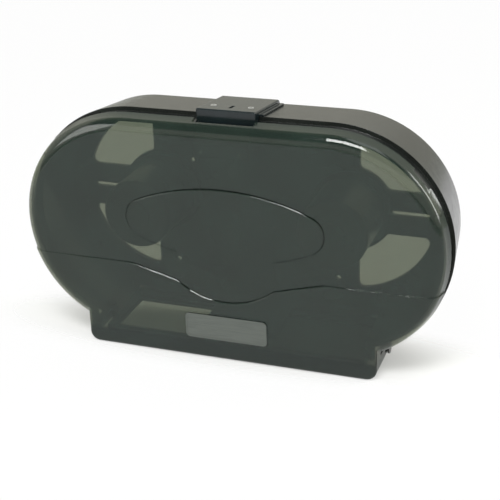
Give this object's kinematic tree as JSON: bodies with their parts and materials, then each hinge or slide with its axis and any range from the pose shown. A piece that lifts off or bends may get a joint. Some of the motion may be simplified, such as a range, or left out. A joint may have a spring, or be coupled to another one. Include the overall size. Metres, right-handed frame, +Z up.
{
  "type": "jumbo toilet roll dispenser",
  "caption": "Wide wall-mounted jumbo toilet roll dispenser with rounded ends, a see-through cover hinged at the bottom, core hubs, a key lock on top and a sliding exit shutter.",
  "frame": {"origin": "on the wall plane, midway between the centres of the two round ends", "axes": "+Z up the wall, +Y into the wall so that the front faces -Y, +X to the right as seen from the front"},
  "size_m": [0.5112, 0.1196, 0.2975],
  "materials": {
    "housing_plastic": "glossy moulded black plastic",
    "inner_plastic": "fine-grained black plastic",
    "hub_plastic": "satin black plastic",
    "shutter_plastic": "satin dark grey plastic",
    "lock_plastic": "satin black plastic",
    "smoke_plastic": "polished see-through smoke-grey plastic",
    "pin_plastic": "smooth black plastic",
    "fastener_steel": "zinc-plated steel",
    "tear_steel": "plain stainless steel strip",
    "latch_steel": "plain steel",
    "label_foil": "satin silver plate, left bare"
  },
  "bodies": {
    "housing": {"rear_housing": "housing_plastic", "exit_frame": "inner_plastic", "exit_rail": "inner_plastic", "frame_screws": "fastener_steel", "tear_bar_left": "tear_steel", "tear_bar_right": "tear_steel", "spindle_post_left": "inner_plastic", "spindle_post_right": "inner_plastic", "post_screws": "fastener_steel", "spindle_screws": "fastener_steel", "lock_housing": "lock_plastic", "lock_screws": "fastener_steel", "latch_guide": "inner_plastic", "detent_spring": "latch_steel", "hinge_pin_left": "pin_plastic", "hinge_pin_right": "pin_plastic"},
    "cover": {"cover_shell": "smoke_plastic", "cover_catch": "inner_plastic", "catch_screws": "fastener_steel", "label_plate": "label_foil"},
    "left_hub": {"core_hub_left": "hub_plastic", "hub_cap_left": "hub_plastic"},
    "right_hub": {"core_hub_right": "hub_plastic", "hub_cap_right": "hub_plastic"},
    "shutter": {"selector_shutter": "shutter_plastic"},
    "latch": {"latch_bolt": "latch_steel"}
  },
  "joints": [
    {"name": "cover_hinge", "type": "hinge", "parent": "housing", "child": "cover", "pos_m": [0, -0.057, -0.14], "axis": [1, 0, 0], "range_deg": [0, 110]},
    {"name": "left_hub_spin", "type": "hinge", "parent": "housing", "child": "left_hub", "pos_m": [-0.1184, -0.05, 0.008], "axis": [0, 1, 0], "continuous": true},
    {"name": "right_hub_spin", "type": "hinge", "parent": "housing", "child": "right_hub", "pos_m": [0.1184, -0.05, 0.008], "axis": [0, 1, 0], "continuous": true},
    {"name": "shutter_slide", "type": "slide", "parent": "housing", "child": "shutter", "axis": [-1, 0, 0], "range_m": [0, 0.204]},
    {"name": "latch_slide", "type": "slide", "parent": "housing", "child": "latch", "axis": [0, 0, -1], "range_m": [0, 0.0045]}
  ]
}
